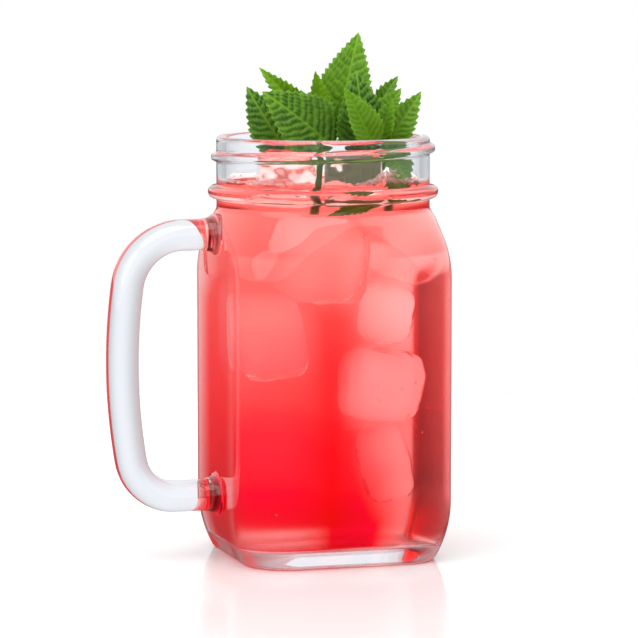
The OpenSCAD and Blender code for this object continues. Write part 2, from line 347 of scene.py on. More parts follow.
def shoulder_at(z, low, high, z_end, outer_bend, inner_bend, lean=math.radians(35)):
    """A shoulder's curve, from low in to high where it turns upright at z_end."""
    bends = outer_bend + inner_bend
    cone = (low - high - bends * (1 - math.cos(lean))) / math.tan(lean)
    z_start = z_end - cone - bends * math.sin(lean)
    z_cone = z_start + outer_bend * math.sin(lean)
    z_fillet = z_cone + cone
    if z <= z_start:
        return low
    if z <= z_cone:
        return low - outer_bend + math.sqrt(outer_bend ** 2 - (z - z_start) ** 2)
    if z <= z_fillet:
        return low - outer_bend * (1 - math.cos(lean)) - (z - z_cone) * math.tan(lean)
    return high + inner_bend - math.sqrt(inner_bend ** 2 - max(z_end - z, 0) ** 2)


OUTER_BENDS, INNER_BENDS = (22, 4), (18.6, 7)   # the shoulder's two bends, in millimetres


class JarForm:
    """The jar's outside and inside as distances from the axis, in millimetres."""

    columns = 192

    def __init__(self, sizes):
        self.half = sizes.body_width / 2 / MM
        self.reach = sizes.corner_reach / MM
        self.foot_half = sizes.foot_width / 2 / MM
        self.foot_reach = sizes.foot_reach / MM
        self.heel = sizes.heel_height / MM
        self.wall = sizes.wall / MM
        self.neck = sizes.neck_radius / MM
        self.neck_wall = sizes.neck_wall / MM
        self.neck_low = RIM - sizes.neck_height / MM
        self.bead = sizes.bead_radius / MM
        self.bead_z = RIM - 17.5
        self.proud = sizes.thread_proud / MM
        self.lip = self.neck_wall / 2
        self.bore = self.neck - self.neck_wall
        self.angles = np.arange(self.columns) * 2 * math.pi / self.columns

    def outside(self, z):
        half = heel_at(z, self.foot_half, self.half, 0, self.heel)
        reach = heel_at(z, self.foot_reach, self.reach, 0, self.heel)
        return half, min(reach, shoulder_at(z, self.reach, self.neck, self.neck_low, *OUTER_BENDS))

    def inside(self, z):
        half = heel_at(z, self.foot_half - 3.1, self.half - self.wall, FLOOR_TOP, FLOOR_TOP + 16)
        top_reach = self.reach - self.wall
        reach = heel_at(z, self.foot_reach - 2.9, top_reach, FLOOR_TOP, FLOOR_TOP + 16)
        return half, min(reach, shoulder_at(z, top_reach, self.bore, self.neck_low, *INNER_BENDS))

    def bead_swell(self, z):
        off = abs(z - self.bead_z)
        swell = self.bead - self.neck
        ball = math.sqrt(max(4 - off ** 2, 0)) + swell - 2 if off < 2 else 0
        return max(ball, 0.35 * max(0, 1 - (off - 1.6) / 1.2) ** 2 if off > 1.6 else 0)

    def thread_swell(self, z):
        """How far the screw thread stands out all round at one height."""
        swell = np.zeros(self.columns)
        start, end = math.radians(-222), math.radians(98)
        for turn in (-2, -1, 0, 1):
            a = self.angles + turn * 2 * math.pi
            middle = RIM - 5.3 + 5.6 * (a + math.radians(107)) / (2 * math.pi)
            fade = np.clip(np.minimum(a - start, end - a) / math.radians(24), 0, 1)
            ridge = np.clip((1.75 - np.abs(z - middle)) / 1.15, 0, 1)
            swell = np.maximum(swell, self.proud * smooth_step(ridge) * fade ** 0.6)
        return swell

    def ring(self, z, half, reach, swell=0):
        return ring_points(outline(self.angles, half, reach) + swell, self.angles, z)

    def outer_rings(self):
        rings = []
        kick = 22.0
        dome = (kick ** 2 + 1.6 ** 2) / (2 * 1.6)
        for r in np.linspace(3, kick, 9):
            rings.append(self.ring(1.6 - dome + math.sqrt(dome ** 2 - r ** 2), r, r))
        edge = 1.3
        for share in np.linspace(0.12, 1, 7):
            half = kick + (self.foot_half - edge - kick) * share
            reach = kick + (self.foot_reach - edge - kick) * share
            rings.append(self.ring(0, half, reach))
        for t in (0.25, 0.5, 0.75):
            half, reach = self.outside(edge * t * t)
            inset = edge * (1 - t) ** 2
            rings.append(self.ring(edge * t * t, half - inset, reach - inset))
        heights = np.concatenate([np.arange(edge, self.heel, 0.9), np.arange(self.heel, 88, 2.4),
                                  np.arange(88, self.neck_low, 0.75)])
        rings += [self.ring(z, *self.outside(z)) for z in heights]
        for z in np.arange(self.neck_low, RIM - self.lip - 0.2, 0.33):
            rings.append(self.ring(z, self.neck, self.neck, self.bead_swell(z) + self.thread_swell(z)))
        for step in range(13):
            a = math.pi * step / 12
            r = self.neck - self.lip + self.lip * math.cos(a)
            rings.append(self.ring(RIM - self.lip + self.lip * math.sin(a), r, r))
        return rings

    def inner_heights(self, top):
        return np.concatenate([np.arange(FLOOR_TOP + 0.9, FLOOR_TOP + 17, 0.9),
                               np.arange(FLOOR_TOP + 17.4, 86, 2.8), np.arange(86, self.neck_low, 0.9),
                               np.arange(self.neck_low, top, 1.2)])

    def floor_rings(self, offset=0):
        """The flat inside floor and its rounded edge, from the middle outwards."""
        half, reach = self.inside(FLOOR_TOP + 0.9)
        rings = []
        for share in (0.1, 0.3, 0.5, 0.7, 0.85, 0.93):
            rings.append(self.ring(FLOOR_TOP - offset, (half + offset) * share, (reach + offset) * share))
        rings.append(self.ring(FLOOR_TOP + 0.2 - offset, half + offset - 0.9, reach + offset - 0.9))
        rings.append(self.ring(FLOOR_TOP + 0.5 - offset, half + offset - 0.3, reach + offset - 0.3))
        return rings


def handle_rings(form, sizes):
    """Rings of the handle from its top root round to its bottom root."""
    thick, broad = sizes.handle_thickness / MM, sizes.handle_breadth / MM
    top, bottom, bow_r, top_r, bottom_r = 102.2, 20.2, 180.0, 18.0, 14.0
    bow_x, bow_z = -REACH + thick / 2 + bow_r, 62.0
    top_turn = math.asin((top - top_r - bow_z) / (bow_r - top_r))
    bottom_turn = math.asin((bow_z - bottom - bottom_r) / (bow_r - bottom_r))
    top_x = bow_x - (bow_r - top_r) * math.cos(top_turn)
    bottom_x = bow_x - (bow_r - bottom_r) * math.cos(bottom_turn)
    quarter, half_turn = math.pi / 2, math.pi

    def arc(cx, cz, r, start, end, steps):
        return [(cx + r * math.cos(a), cz + r * math.sin(a), a)
                for a in np.linspace(start, end, steps)]

    flare_length = 5.2
    flare = -form.half - np.array([-1.7, 0, 0.5, 1.1, 1.9, 2.8, 3.9, flare_length])
    line = [(x, top, quarter) for x in flare]
    line += arc(top_x, top - top_r, top_r, quarter, half_turn - top_turn, 22)
    line += arc(bow_x, bow_z, bow_r, half_turn - top_turn, half_turn + bottom_turn, 24)[1:-1]
    line += arc(bottom_x, bottom + bottom_r, bottom_r, half_turn + bottom_turn, 3 * quarter, 20)
    line += [(x, bottom, 3 * quarter) for x in flare[::-1]]
    turn = np.arange(36) * 2 * math.pi / 36
    rings = []
    for x, z, a in line:
        near = max(0.0, 1 - max(0.0, -form.half - x) / flare_length)
        swell = 1 + 0.2 * near ** 1.5 + 0.16 * near ** 6
        across = (thick / 2) * np.cos(turn) * swell
        y = ((thick / 2) * np.sin(turn) + (broad - thick) / 2 * np.tanh(2.2 * np.sin(turn))) * swell
        rings.append(np.column_stack([x + across * math.cos(a), y, z + across * math.sin(a)]))
    return rings


def glass_material(name, look, ior, roughness=0.0):
    """Clear pressed glass, with the slight waves of a mould-made wall."""
    material, tree, shader = clear_material(name, look.glass_tint, ior, roughness)
    waves = object_noise(tree, add_node(tree, "ShaderNodeTexCoord"), 42, detail=1)
    roughen(tree, shader, waves, 0.05, 0.0012)
    return material


class LEMONADE_OT_glass(bpy.types.Operator):
    """Make the clear glass jar, with its thread, bead, lip and handle"""

    bl_idname = "lemonade.glass"
    bl_label = "Glass Jar"

    def execute(self, context):
        sizes = context.scene.jar_sizes
        form = JarForm(sizes)
        rings = form.outer_rings()
        rings += [form.ring(z, *form.inside(z)) for z in form.inner_heights(RIM - form.lip - 0.5)[::-1]]
        rings += form.floor_rings()[::-1]
        points, faces = closed_loft(rings, (0, 0, 1.6), (0, 0, FLOOR_TOP))
        jar = closed_piece("jar", points, faces, glass_material("clear_glass", sizes, 1.5))
        cloudiness = context.scene.drink_look.cloudiness
        jar.data.materials.append(glass_material("wet_glass", sizes, 1.128, cloudiness))
        grip = handle_rings(form, sizes)
        ends = [np.mean(grip[end], axis=0) for end in (0, -1)]
        combine(jar, closed_piece("handle", *closed_loft(grip, *ends)), "UNION")
        wet = [0] * len(jar.data.polygons)
        for i, face in enumerate(jar.data.polygons):
            x, y, z = face.center / MM - AXIS
            half, reach = form.inside(z)
            wall = outline(np.array([math.atan2(y, x)]), half, reach)[0]
            wet[i] = int(FLOOR_TOP - 0.3 < z < DRINK_TOP and math.hypot(x, y) < wall + 0.5)
        jar.data.polygons.foreach_set("material_index", wet)
        dress(jar, "glass_jar", "jar_glass", "glass")
        return {"FINISHED"}


# ---------- ice and drink ----------

# Each submerged piece: middle, size along its own three edges, and turn in degrees, about the jar's axis.
SUNK_ICE = (
    ((-6.5, -17.5, 94.0), (27, 21, 25), (4, 3, 6)),
    ((-21.5, -16.0, 72.0), (18, 22, 27), (8, -12, -14)),
    ((12.5, -21.5, 78.5), (18, 15, 18), (14, 9, -12)),
    ((11.5, -18.5, 56.0), (26, 18, 23), (-10, 10, 16)),
    ((12.5, -20.5, 31.5), (16, 15, 25), (6, -14, -20)),
    ((22.0, 2.0, 97.0), (20, 20, 20), (12, 20, 30)),
    ((-21.0, 13.0, 96.5), (19, 20, 18), (-14, 10, 24)),
)
ICE_CUTS = 22
SUNK_GAP = 0.15          # between a sunk piece and the drink round it
FLOATING = ((1, "ice_left"), (2, "ice_right"))
FLOATING_SIDE = 17.7
FLOATING_TILT = {"ice_left": (4, 0, -11), "ice_right": (-5, 0, -23)}


def ice_shape(size, seed, look, grow):
    """Points and faces of a melting cube about its own middle: a squarish ball with shallow dents."""
    work = bmesh.new()
    bmesh.ops.create_cube(work, size=2)
    bmesh.ops.subdivide_edges(work, edges=work.edges, cuts=ICE_CUTS, use_grid_fill=True)
    points = np.array([v.co[:] for v in work.verts])
    faces = [[v.index for v in f.verts] for f in work.faces]
    work.free()
    power = look.squareness
    points = np.sin(points * math.pi / 4) / math.sin(math.pi / 4)
    norm = (np.abs(points) ** power).sum(axis=1) ** (1 / power)
    ball = points / norm[:, None]
    half = np.array(size) / 2 + grow
    dent = look.unevenness / MM
    shift = Vector((seed * 7.3, seed * 3.1, seed * 5.7))
    out = []
    for p in ball:
        v = Vector(p)
        wave = noise.noise(v * 1.3 + shift) + 0.4 * noise.noise(v * 3.1 + shift)
        out.append(np.array(p) * half + np.array(v.normalized()) * dent * (wave - 0.35))
    return np.array(out), faces


def placed(points, middle, turns):
    spin = np.array(Euler([math.radians(t) for t in turns]).to_matrix())
    return points @ spin.T + np.array(middle)


def sunk_ice(look, grow):
    """Points and faces of each submerged piece of ice, in place."""
    for i, (middle, size, turns) in enumerate(SUNK_ICE):
        points, faces = ice_shape(size, i + 3, look, grow)
        yield placed(points, middle, turns), faces


def floating_ice(node, seed, look, grow):
    """A melting cube in the place of a floating CAD cube."""
    low, high = [Vector(c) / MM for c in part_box(node)]
    middle = (low + high) / 2 - AXIS
    points, faces = ice_shape((FLOATING_SIDE,) * 3, seed, look, grow)
    return placed(points, middle, FLOATING_TILT[node]), faces


def merged(shapes):
    """One list of points and faces from several."""
    points, faces, first = [], [], 0
    for p, f in shapes:
        points.append(p)
        faces += [[first + i for i in face] for face in f]
        first += len(p)
    return np.vstack(points), faces


def level_rise(angles, inward, look):
    """Rise of the drink's level near the glass, with the peak that foam leaves at the front right."""
    peak = (angles + math.radians(65) + math.pi) % (2 * math.pi) - math.pi
    swell = look.climb / MM * np.exp(-(peak / 0.17) ** 2) + 0.35 * np.sin(5 * angles + 1)
    return look.meniscus / MM * np.exp(-inward / 1.3) + swell * np.exp(-inward / 2.0)


def drink_body(form, look):
    """The drink's form from the jar's floor to its level, reaching a little into the glass."""
    bite = look.bite / MM
    rings = form.floor_rings(bite)
    for z in form.inner_heights(DRINK_TOP - 0.5):
        half, reach = form.inside(z)
        rings.append(form.ring(z, half + bite, reach + bite))
    half, reach = form.inside(DRINK_TOP)
    for share in (1.0, 0.985, 0.965, 0.94, 0.91, 0.87, 0.8, 0.7, 0.55, 0.35, 0.12):
        ring = form.ring(DRINK_TOP, (half + bite) * share, (reach + bite) * share)
        ring[:, 2] += level_rise(form.angles, (1 - share) * half, look)
        rings.append(ring)
    return closed_piece("drink", *closed_loft(rings, (0, 0, FLOOR_TOP - bite), (0, 0, DRINK_TOP)))


def depth_of_colour(drink, form, look, shapes):
    """How much of the drink's colour each point shows: none on a cut, less by ice, and less by a corner,
    where the loss is partly the thinner drink and partly painted light.
    """
    points, faces = merged(shapes)
    ice = BVHTree.FromPolygons(points.tolist(), faces)
    mesh = drink.data
    where = np.empty(len(mesh.vertices) * 3)
    mesh.vertices.foreach_get("co", where)
    where = where.reshape(-1, 3) / MM - np.array(AXIS)
    depth = np.zeros(len(where))
    bite = look.bite / MM
    for i, (x, y, z) in enumerate(where):
        half, reach = form.inside(z)
        angle = math.atan2(y, x)
        wall = outline(np.array([angle]), half + bite, reach + bite)[0]
        if z > DRINK_TOP - 0.05 or (math.hypot(x, y) < wall - 0.12 and z > FLOOR_TOP + 0.6):
            continue
        turn = abs((angle + math.pi / 4) % (math.pi / 2) - math.pi / 4) / (math.pi / 4)
        # Painted light: colour is taken off toward the four corners below the shoulder, partly for the
        # thinner drink and partly to stand in for light coming through the corners.
        corner = smooth_step(within_one((turn - 0.3) / 0.6)) if z < 96 else 0
        away = ice.find_nearest(Vector((x, y, z)))[3]
        near = smooth_step(within_one(1 - (away - 1.5) / 7.5))
        high = within_one((z - 28) / 50)
        depth[i] = 1 - look.painted_corner_light * corner * (0.75 + 0.25 * high)
        if z < FLOOR_TOP + 0.6:
            depth[i] *= look.base_colour
        depth[i] *= 1 - look.ice_paleness * near * (0.2 + 0.8 * high)
    mesh.attributes.new("depth", "FLOAT", "POINT").data.foreach_set("value", depth)


# Height in millimetres, and the colour that is left there after the drink's two sides.
SETTLING = ((4, (0.6, 0.0, 0.001)), (12, (0.66, 0.0, 0.002)), (24, (0.76, 0.0, 0.008)),
            (34, (0.87, 0.003, 0.018)), (42, (0.94, 0.012, 0.026)), (50, (0.97, 0.04, 0.05)),
            (64, (0.99, 0.07, 0.08)), (80, (1.0, 0.15, 0.14)), (98, (1.0, 0.29, 0.26)),
            (116, (1.0, 0.38, 0.34)))

RAMP_HEIGHT = 120   # height of the colour ramp's top, in millimetres
DRIFT = 18          # how far up or down the ramp wanders, in millimetres


def lemonade_material(look):
    """Clear pink drink, red where its syrup has settled, paler round its ice, and paler at its corners, which
    is partly the thinner drink and partly painted light.
    """
    material, tree, shader = clear_material("lemonade", (1, 1, 1), 1.002, 0.0,
                                            absorb=(look.absorb_colour, look.absorb_density))
    place = add_node(tree, "ShaderNodeTexCoord")
    drift = object_noise(tree, place, 26, detail=3, distortion=0.6)
    split = add_node(tree, "ShaderNodeSeparateXYZ", {"Vector": place.outputs["Object"]})
    lift = add_node(tree, "ShaderNodeMapRange",
                    {"Value": drift, "To Min": -DRIFT * MM, "To Max": DRIFT * MM}).outputs["Result"]
    height = maths(tree, "ADD", split.outputs["Z"], lift)
    share = add_node(tree, "ShaderNodeMapRange", {"Value": height, "From Max": RAMP_HEIGHT * MM})
    ramp = add_node(tree, "ShaderNodeValToRGB", {"Fac": share.outputs["Result"]})
    stops = ramp.color_ramp.elements
    while len(stops) < len(SETTLING):
        stops.new(0.5)
    for stop, (z, colour) in zip(stops, SETTLING):
        stop.position = z / RAMP_HEIGHT
        stop.color = (*colour, 1)
    colour = blend(tree, point_value(tree, "depth"), (1, 1, 1), ramp.outputs["Color"])
    tree.links.new(colour, shader.inputs["Base Color"])
    return material


class LEMONADE_OT_drink(bpy.types.Operator):
    """Make the lemonade, with its level against the glass and the room for the ice"""

    bl_idname = "lemonade.drink"
    bl_label = "Lemonade"

    def execute(self, context):
        scene = context.scene
        look, ice, form = scene.drink_look, scene.ice_look, JarForm(scene.jar_sizes)
        drink = drink_body(form, look)
        sunk = list(sunk_ice(ice, 0.0))
        floating = [floating_ice(node, seed, ice, -ice.overlap / MM) for seed, node in FLOATING]
        combine(drink, closed_piece("room", *merged(sunk + floating)), "DIFFERENCE")
        depth_of_colour(drink, form, look, sunk)
        drink.data.materials.clear()
        drink.data.materials.append(lemonade_material(look))
        dress(drink, "lemonade_drink", "lemonade", "lemonade")
        return {"FINISHED"}


class LEMONADE_OT_ice(bpy.types.Operator):
    """Make the floating and the submerged ice"""

    bl_idname = "lemonade.ice"
    bl_label = "Ice"

    def execute(self, context):
        look = context.scene.ice_look
        material = clear_material("floating_ice", (1.0, 0.78, 0.76), 1.31, 0.12, 0.94)[0]
        sunk_material = clear_material("melting_ice", (1.0, 1.0, 1.0), 1.03, 0.15)[0]
        for seed, node in FLOATING:
            cube = closed_piece(node, *floating_ice(node, seed, look, 0.0), material)
            dress(cube, "floating_" + node, "ice", node)
        dress(closed_piece("sunk", *merged(sunk_ice(look, -SUNK_GAP)), sunk_material), "sunk_ice", "ice")
        return {"FINISHED"}


# ---------- foam and bubbles ----------

def bubble_nodes():
    """Node group that scatters round bubbles over a surface."""
    group = bpy.data.node_groups.new("scattered_bubbles", "GeometryNodeTree")
    for name, kind in (("Surface", "Geometry"), ("Density", "Float"), ("Smallest", "Float"),
                       ("Largest", "Float"), ("Seed", "Int"), ("Material", "Material")):
        group.interface.new_socket(name, in_out="INPUT", socket_type="NodeSocket" + kind)
    group.interface.new_socket("Bubbles", in_out="OUTPUT", socket_type="NodeSocketGeometry")
    given = add_node(group, "NodeGroupInput").outputs
    spread = add_node(group, "GeometryNodeDistributePointsOnFaces",
                      {"Mesh": given["Surface"], "Density": given["Density"], "Seed": given["Seed"]})
    chance = add_node(group, "FunctionNodeRandomValue", {"Seed": given["Seed"]})
    number = [slot for slot in chance.outputs if slot.type == "VALUE"][0]
    size = add_node(group, "ShaderNodeMapRange",
                    {"Value": maths(group, "POWER", number, 3), "To Min": given["Smallest"],
                     "To Max": given["Largest"]})
    ball = add_node(group, "GeometryNodeMeshIcoSphere", {"Radius": 1, "Subdivisions": 2})
    place = add_node(group, "GeometryNodeInstanceOnPoints",
                     {"Points": spread.outputs["Points"], "Instance": ball.outputs["Mesh"],
                      "Scale": size.outputs["Result"]})
    real = add_node(group, "GeometryNodeRealizeInstances", {"Geometry": place.outputs["Instances"]})
    smooth = add_node(group, "GeometryNodeSetShadeSmooth", {"Geometry": real.outputs["Geometry"]})
    skin = add_node(group, "GeometryNodeSetMaterial",
                    {"Geometry": smooth.outputs["Geometry"], "Material": given["Material"]})
    add_node(group, "NodeGroupOutput", {"Bubbles": skin.outputs["Geometry"]})
    return group


def scatter(name, rings, group, material, per_square_cm, smallest, largest, seed):
    """Bubbles over the band between rings, as one plain mesh."""
    band = piece_from(name, np.reshape(rings, (-1, 3)), grid_faces(len(rings), len(rings[0])))
    step = band.modifiers.new("bubbles", "NODES")
    step.node_group = group
    values = {"Density": per_square_cm * 1e4, "Smallest": smallest * MM, "Largest": largest * MM,
              "Seed": seed, "Material": material}
    for socket in group.interface.items_tree:
        if socket.in_out == "INPUT" and socket.name in values:
            step[socket.identifier] = values[socket.name]
    bpy.context.view_layer.update()
    baked_mesh(band)
    return band


class LEMONADE_OT_foam(bpy.types.Operator):
    """Make the foam at the drink's level and the small bubbles against the glass"""

    bl_idname = "lemonade.foam"
    bl_label = "Foam and Bubbles"

    def execute(self, context):
        scene = context.scene
        form, look = JarForm(scene.jar_sizes), scene.drink_look
        foam = clear_material("foam", (1.0, 0.9, 0.9), 1.2, 0.05, 0.8)[0]
        speck = clear_material("speck", (1.0, 0.75, 0.75), 1.12, 0.0)[0]
        group = bubble_nodes()

        def level(start, end, inner, outer):
            angles = np.radians(np.arange(start, end + 0.1, 2.0))
            rings = []
            for inward in np.linspace(outer, inner, 6):
                z = DRINK_TOP + level_rise(angles, inward, look) + 0.05
                rings.append(ring_points(form.bore - inward, angles, z))
            return rings

        parts = (("foam_edge", level(-200, 160, 2.2, 0.5), 26, 0.14, 0.55, 3),
                 ("foam_peak", level(-86, -40, 5.0, 0.4), 110, 0.16, 0.8, 4),
                 ("foam_left", level(-160, -128, 4.0, 0.5), 60, 0.15, 0.7, 5))
        for name, rings, density, small, large, seed in parts:
            dress(scatter(name, rings, group, foam, density, small, large, seed), name, "lemonade")
        columns = form.angles[np.arange(0, form.columns + 1, 4) % form.columns]
        wall = []
        for z in np.arange(12, 108, 4.0):
            half, reach = form.inside(z)
            wall.append(ring_points(outline(columns, half - 0.35, reach - 0.35), columns, z))
        dress(scatter("specks", wall, group, speck, 1.6, 0.12, 0.42, 6), "drink_bubbles", "lemonade")
        return {"FINISHED"}


# ---------- mint ----------

# Each leaf, from the rim's middle: base, tip, way it faces, half width, fold in degrees, bow, youth and
# quilting.
LEFT_LEAVES = (
    ((4, 6.5, 0), (11.2, 8.5, 31.9), (-0.1, -1, 0.1), 9.6, 14, 0.05, 0.5, 0.7),
    ((0.5, 0, 1), (-2.4, -3, 20.2), (0.1, -1, 0.2), 4.6, 28, -0.06, 1.0, 0.5),
    ((-2, 3.5, 5), (-20, 0, 21.2), (0, -1, -0.2), 4.4, 22, 0.06, 0.8, 0.7),
    ((-10, -1.5, -6.5), (-23.8, -2.5, 15.3), (-0.4, -1, 0.3), 7.6, 10, 0.08, 0.05, 0.9),
    ((3.2, -7.5, -3.5), (-18.8, -11, 14), (0.1, -1, 0.3), 10.6, 8, 0.1, 0.15, 1.5),
)
RIGHT_LEAVES = (
    ((13.5, -1.5, -6.5), (10.3, -5.5, 20.2), (0, -1, 0.35), 9.4, 16, 0.13, 0.0, 1.3),
    ((16.5, 8, 8), (23.7, 10, 18.2), (0.2, -1, 0.5), 3.2, 25, 0.05, 0.2, 0.8),
    ((15.5, 2, -1), (24.5, 3, 14.6), (-0.35, -1, 0.15), 5.8, 24, 0.05, 0.45, 1.1),
    ((16, -12.3, -3), (6.6, -15.5, 15.3), (0.3, -1, 0), 6.4, 34, 0.05, 0.5, 0.8),
    ((18, -9.5, -1), (21.6, -11.5, 12), (-0.25, -1, 0.1), 4.6, 34, 0.04, 0.35, 0.7),
    ((18.5, -5, -5), (30.6, -6, 13.9), (-0.2, -1, -0.1), 6.0, 20, 0.06, 0.35, 0.9),
    ((20.5, 0, -2), (28.6, 3, 3.8), (0, -1, 0.6), 3.6, 16, 0.1, 0.2, 0.8),
    ((21.5, -2.5, -2.5), (26, -8, -15.5), (0.45, -1, 0.1), 5.2, 12, -0.04, 0.3, 0.8),
)
LOOSE_LEAVES = (
    ((15, -23.5, -20), (1, -27, -24), (0.1, -1, 0.5), 2.6, 20, 0.05, 0.3, 0.8),
    ((20, 3, -8), (2, 1, -15), (0.05, -1, 0.1), 5.2, 10, 0.04, 0.2, 0.9),
    ((24.5, -12, -12), (18, -18.5, -17), (0.3, -1, 0.3), 3.6, 14, 0.05, 0.4, 0.8),
)
LEFT_STEM = ((-2.2, -2.2, -26), (-0.9, -1.4, -8), (1, 1, 6))
RIGHT_STEM = ((15, 3.5, -24), (15.5, 3, -8), (16.5, 3.5, 6))
LEFT_JOINTS = (-1, 2, 5, -6, -2)
RIGHT_JOINTS = (-4, 5, 1, -2, -1, -5, -3, -8)


def unit(v):
    return v / np.linalg.norm(v)


class Leaf:
    """One serrated, quilted mint leaf in millimetres from the rim's middle."""

    def __init__(self, row, seed, look):
        base, tip, facing, self.half, fold, self.bow, self.youth, quilt = row
        self.base = np.array(base, float)
        self.run = np.array(tip, float) - self.base
        self.long = np.linalg.norm(self.run)
        self.up = unit(self.run)
        self.side = unit(np.cross(facing, self.up))
        self.face = np.cross(self.up, self.side)
        self.fold = math.radians(fold)
        self.quilt = quilt * look.quilting / MM
        self.thick = look.thickness / MM
        self.seed = seed

    def midrib(self, s):
        s = np.asarray(s)[..., None]
        return self.base + self.run * s + self.face * (4 * self.bow * self.long) * s * (1 - s)

    def width(self, s):
        shape = 1.32 * np.maximum(np.sin(math.pi * s ** 0.72), 0) ** 0.85 * (1 - 0.28 * s)
        return self.half * np.maximum(shape, 0.03) / 1.2

    def veins(self, along, across):
        """Distance from the nearest side vein and from the nearest small vein, in millimetres."""
        gap = max(self.long / 11, 1.7)
        away = np.abs(across)
        wander = (0.1 * np.sin(along * 1.1 + across * 0.7 + self.seed)
                  + 0.07 * np.sin(across * 2.3 - along * 0.4))
        first = (along - 0.55 * away - 0.03 * away ** 2) / gap + np.where(across < 0, 0.5, 0) + wander
        lane = np.floor(first)
        small = gap * 0.52
        second = (1.2 * away + 0.3 * along) / small + 0.37 * lane + 0.8 * wander
        return (np.abs(first - np.round(first)) * gap * 0.8, np.abs(second - np.round(second)) * small)

    def sheet(self):
        """The upper side's points, and how near a vein and how near the edge each is."""
        rows = int(self.long / 0.3) + 2
        columns = 2 * int(self.half / 0.42) + 1
        s = np.linspace(0, 1, rows)[:, None]
        t = np.linspace(-1, 1, columns)[None, :]
        width = self.width(s)
        teeth = s * self.long / 1.9 + 0.13 * self.seed + np.where(t < 0, 0.4, 0)
        climb = teeth - np.floor(teeth)
        saw = np.where(climb < 0.8, climb / 0.8, (1 - climb) / 0.2)
        edge = np.abs(t) ** 4 * np.minimum(1, width / 2.5)
        reach = width * 0.95 + 0.95 * (saw - 0.4) * edge
        across = reach * t
        along = s * self.long + 0 * t
        large, small = self.veins(along, across)
        swell = 1 - np.exp(-(large / 0.5) ** 2)
        pillow = 1 - np.exp(-(small / 0.36) ** 2)
        rib = 1 - np.exp(-(across / 0.55) ** 2)
        quilt = self.quilt * swell * (0.35 + 0.65 * pillow) * rib * (1 - np.abs(t) ** 8)
        quilt = quilt * np.minimum(1, s * 8) * np.minimum(1, (1 - s) * 10)
        ripple = 0.35 * np.sin(along * 0.9 + self.seed + np.where(t < 0, 1.5, 0))
        ripple = ripple * np.abs(t) ** 3 * (1 - s) ** 0.5
        points = self.midrib(s + 0 * t)
        points = points + self.side * (across * math.cos(self.fold))[..., None]
        lift = np.abs(across) * math.sin(self.fold) + quilt + ripple * np.minimum(1, width / 4)
        points = points + self.face * lift[..., None]
        forward = 0.75 * saw * edge * (1 - s)
        points = points + self.up * forward[..., None]
        vein = np.maximum(1 - swell * (0.5 + 0.5 * pillow), 1.25 * (1 - rib))
        return points, vein, np.abs(t) ** 10 + 0 * s

    def solid(self):
        """Closed points, faces and per-point colouring of the whole leaf."""
        top, vein, rim = self.sheet()
        rows, columns = vein.shape
        t = np.linspace(-1, 1, columns)[None, :, None]
        under = top - self.face * self.thick * (1 - 0.75 * np.abs(t) ** 6)
        points = np.vstack([top.reshape(-1, 3), under.reshape(-1, 3)])
        shift = rows * columns
        quads = grid_faces(rows, columns)
        faces = [q[::-1] for q in quads] + [tuple(shift + k for k in q) for q in quads]
        loop = list(range(columns)) + [i * columns + columns - 1 for i in range(1, rows)]
        loop += [(rows - 1) * columns + j for j in range(columns - 2, -1, -1)]
        loop += [i * columns for i in range(rows - 2, 0, -1)]
        faces += [(a, b, shift + b, shift + a) for a, b in zip(loop, loop[1:] + loop[:1])]
        youth = np.full(2 * shift, self.youth)
        return points, faces, np.tile(vein.ravel(), 2), youth, np.tile(rim.ravel(), 2)


def rod(line, radii, sides=12):
    """A closed round rod along a line of points."""
    line = np.asarray(line, float)
    turn = np.arange(sides) * 2 * math.pi / sides
    rings = []
    for i, centre in enumerate(line):
        ahead = unit(line[min(i + 1, len(line) - 1)] - line[max(i - 1, 0)])
        out = unit(np.cross(ahead, (0.31, 1, 0.17)))
        over = np.cross(ahead, out)
        ripple = 1 + 0.08 * np.cos(4 * turn)
        rings.append(centre + radii[i] * ripple[:, None] * (np.cos(turn)[:, None] * out
                                                           + np.sin(turn)[:, None] * over))
    return closed_loft(rings, line[0], line[-1])


def stem_point(stem, height):
    for low, high in zip(stem, stem[1:]):
        if height <= high[2] or high is stem[-1]:
            share = (height - low[2]) / (high[2] - low[2])
            return np.array(low) + (np.array(high) - np.array(low)) * share


def sprig(name, rows, stem, joints, look, material, loose=()):
    """One sprig as closed leaves, leaf stalks and stem in one mesh, with any loose leaves by it."""
    points, faces, veins, youths, rims, first = [], [], [], [], [], 0

    def add(part, loops, vein, youth, rim):
        nonlocal first
        points.append(part)
        faces.extend(tuple(first + k for k in loop) for loop in loops)
        veins.append(vein)
        youths.append(youth)
        rims.append(rim)
        first += len(part)

    for seed, (row, joint) in enumerate(zip(rows, joints)):
        leaf = Leaf(row, seed * 1.7 + len(rows), look)
        add(*leaf.solid())
        start, end = stem_point(stem, joint), leaf.midrib(0.12)
        bend = (start + end) / 2 - np.array((0, 0, 0.08)) * np.linalg.norm(end - start)
        share = np.linspace(0, 1, 9)[:, None]
        line = start * (1 - share) ** 2 + 2 * bend * share * (1 - share) + end * share ** 2
        part, loops = rod(line, np.linspace(0.62, 0.45, 9))
        plain = np.ones(len(part))
        add(part, loops, plain * 0.7, plain * 0.6, plain * 0)
    for seed, row in enumerate(loose):
        add(*Leaf(row, seed * 2.3 + 0.5, look).solid())
    heights = np.linspace(stem[0][2], stem[-1][2], 30)
    line = [stem_point(stem, z) for z in heights]
    part, loops = rod(line, np.interp(heights, (stem[0][2], stem[-1][2]), (1.1, 0.8)), 16)
    plain = np.ones(len(part))
    add(part, loops, plain * 0.35, plain * 0.4, plain * 0)
    spin = np.array(Matrix.Rotation(FILL_TURN, 3, "Z"))
    plant = closed_piece(name, np.vstack(points) @ spin.T + np.array((0, 0, RIM)), faces, material)
    for key, values in (("vein", veins), ("youth", youths), ("rim", rims)):
        plant.data.attributes.new(key, "FLOAT", "POINT").data.foreach_set("value", np.concatenate(values))
    return plant


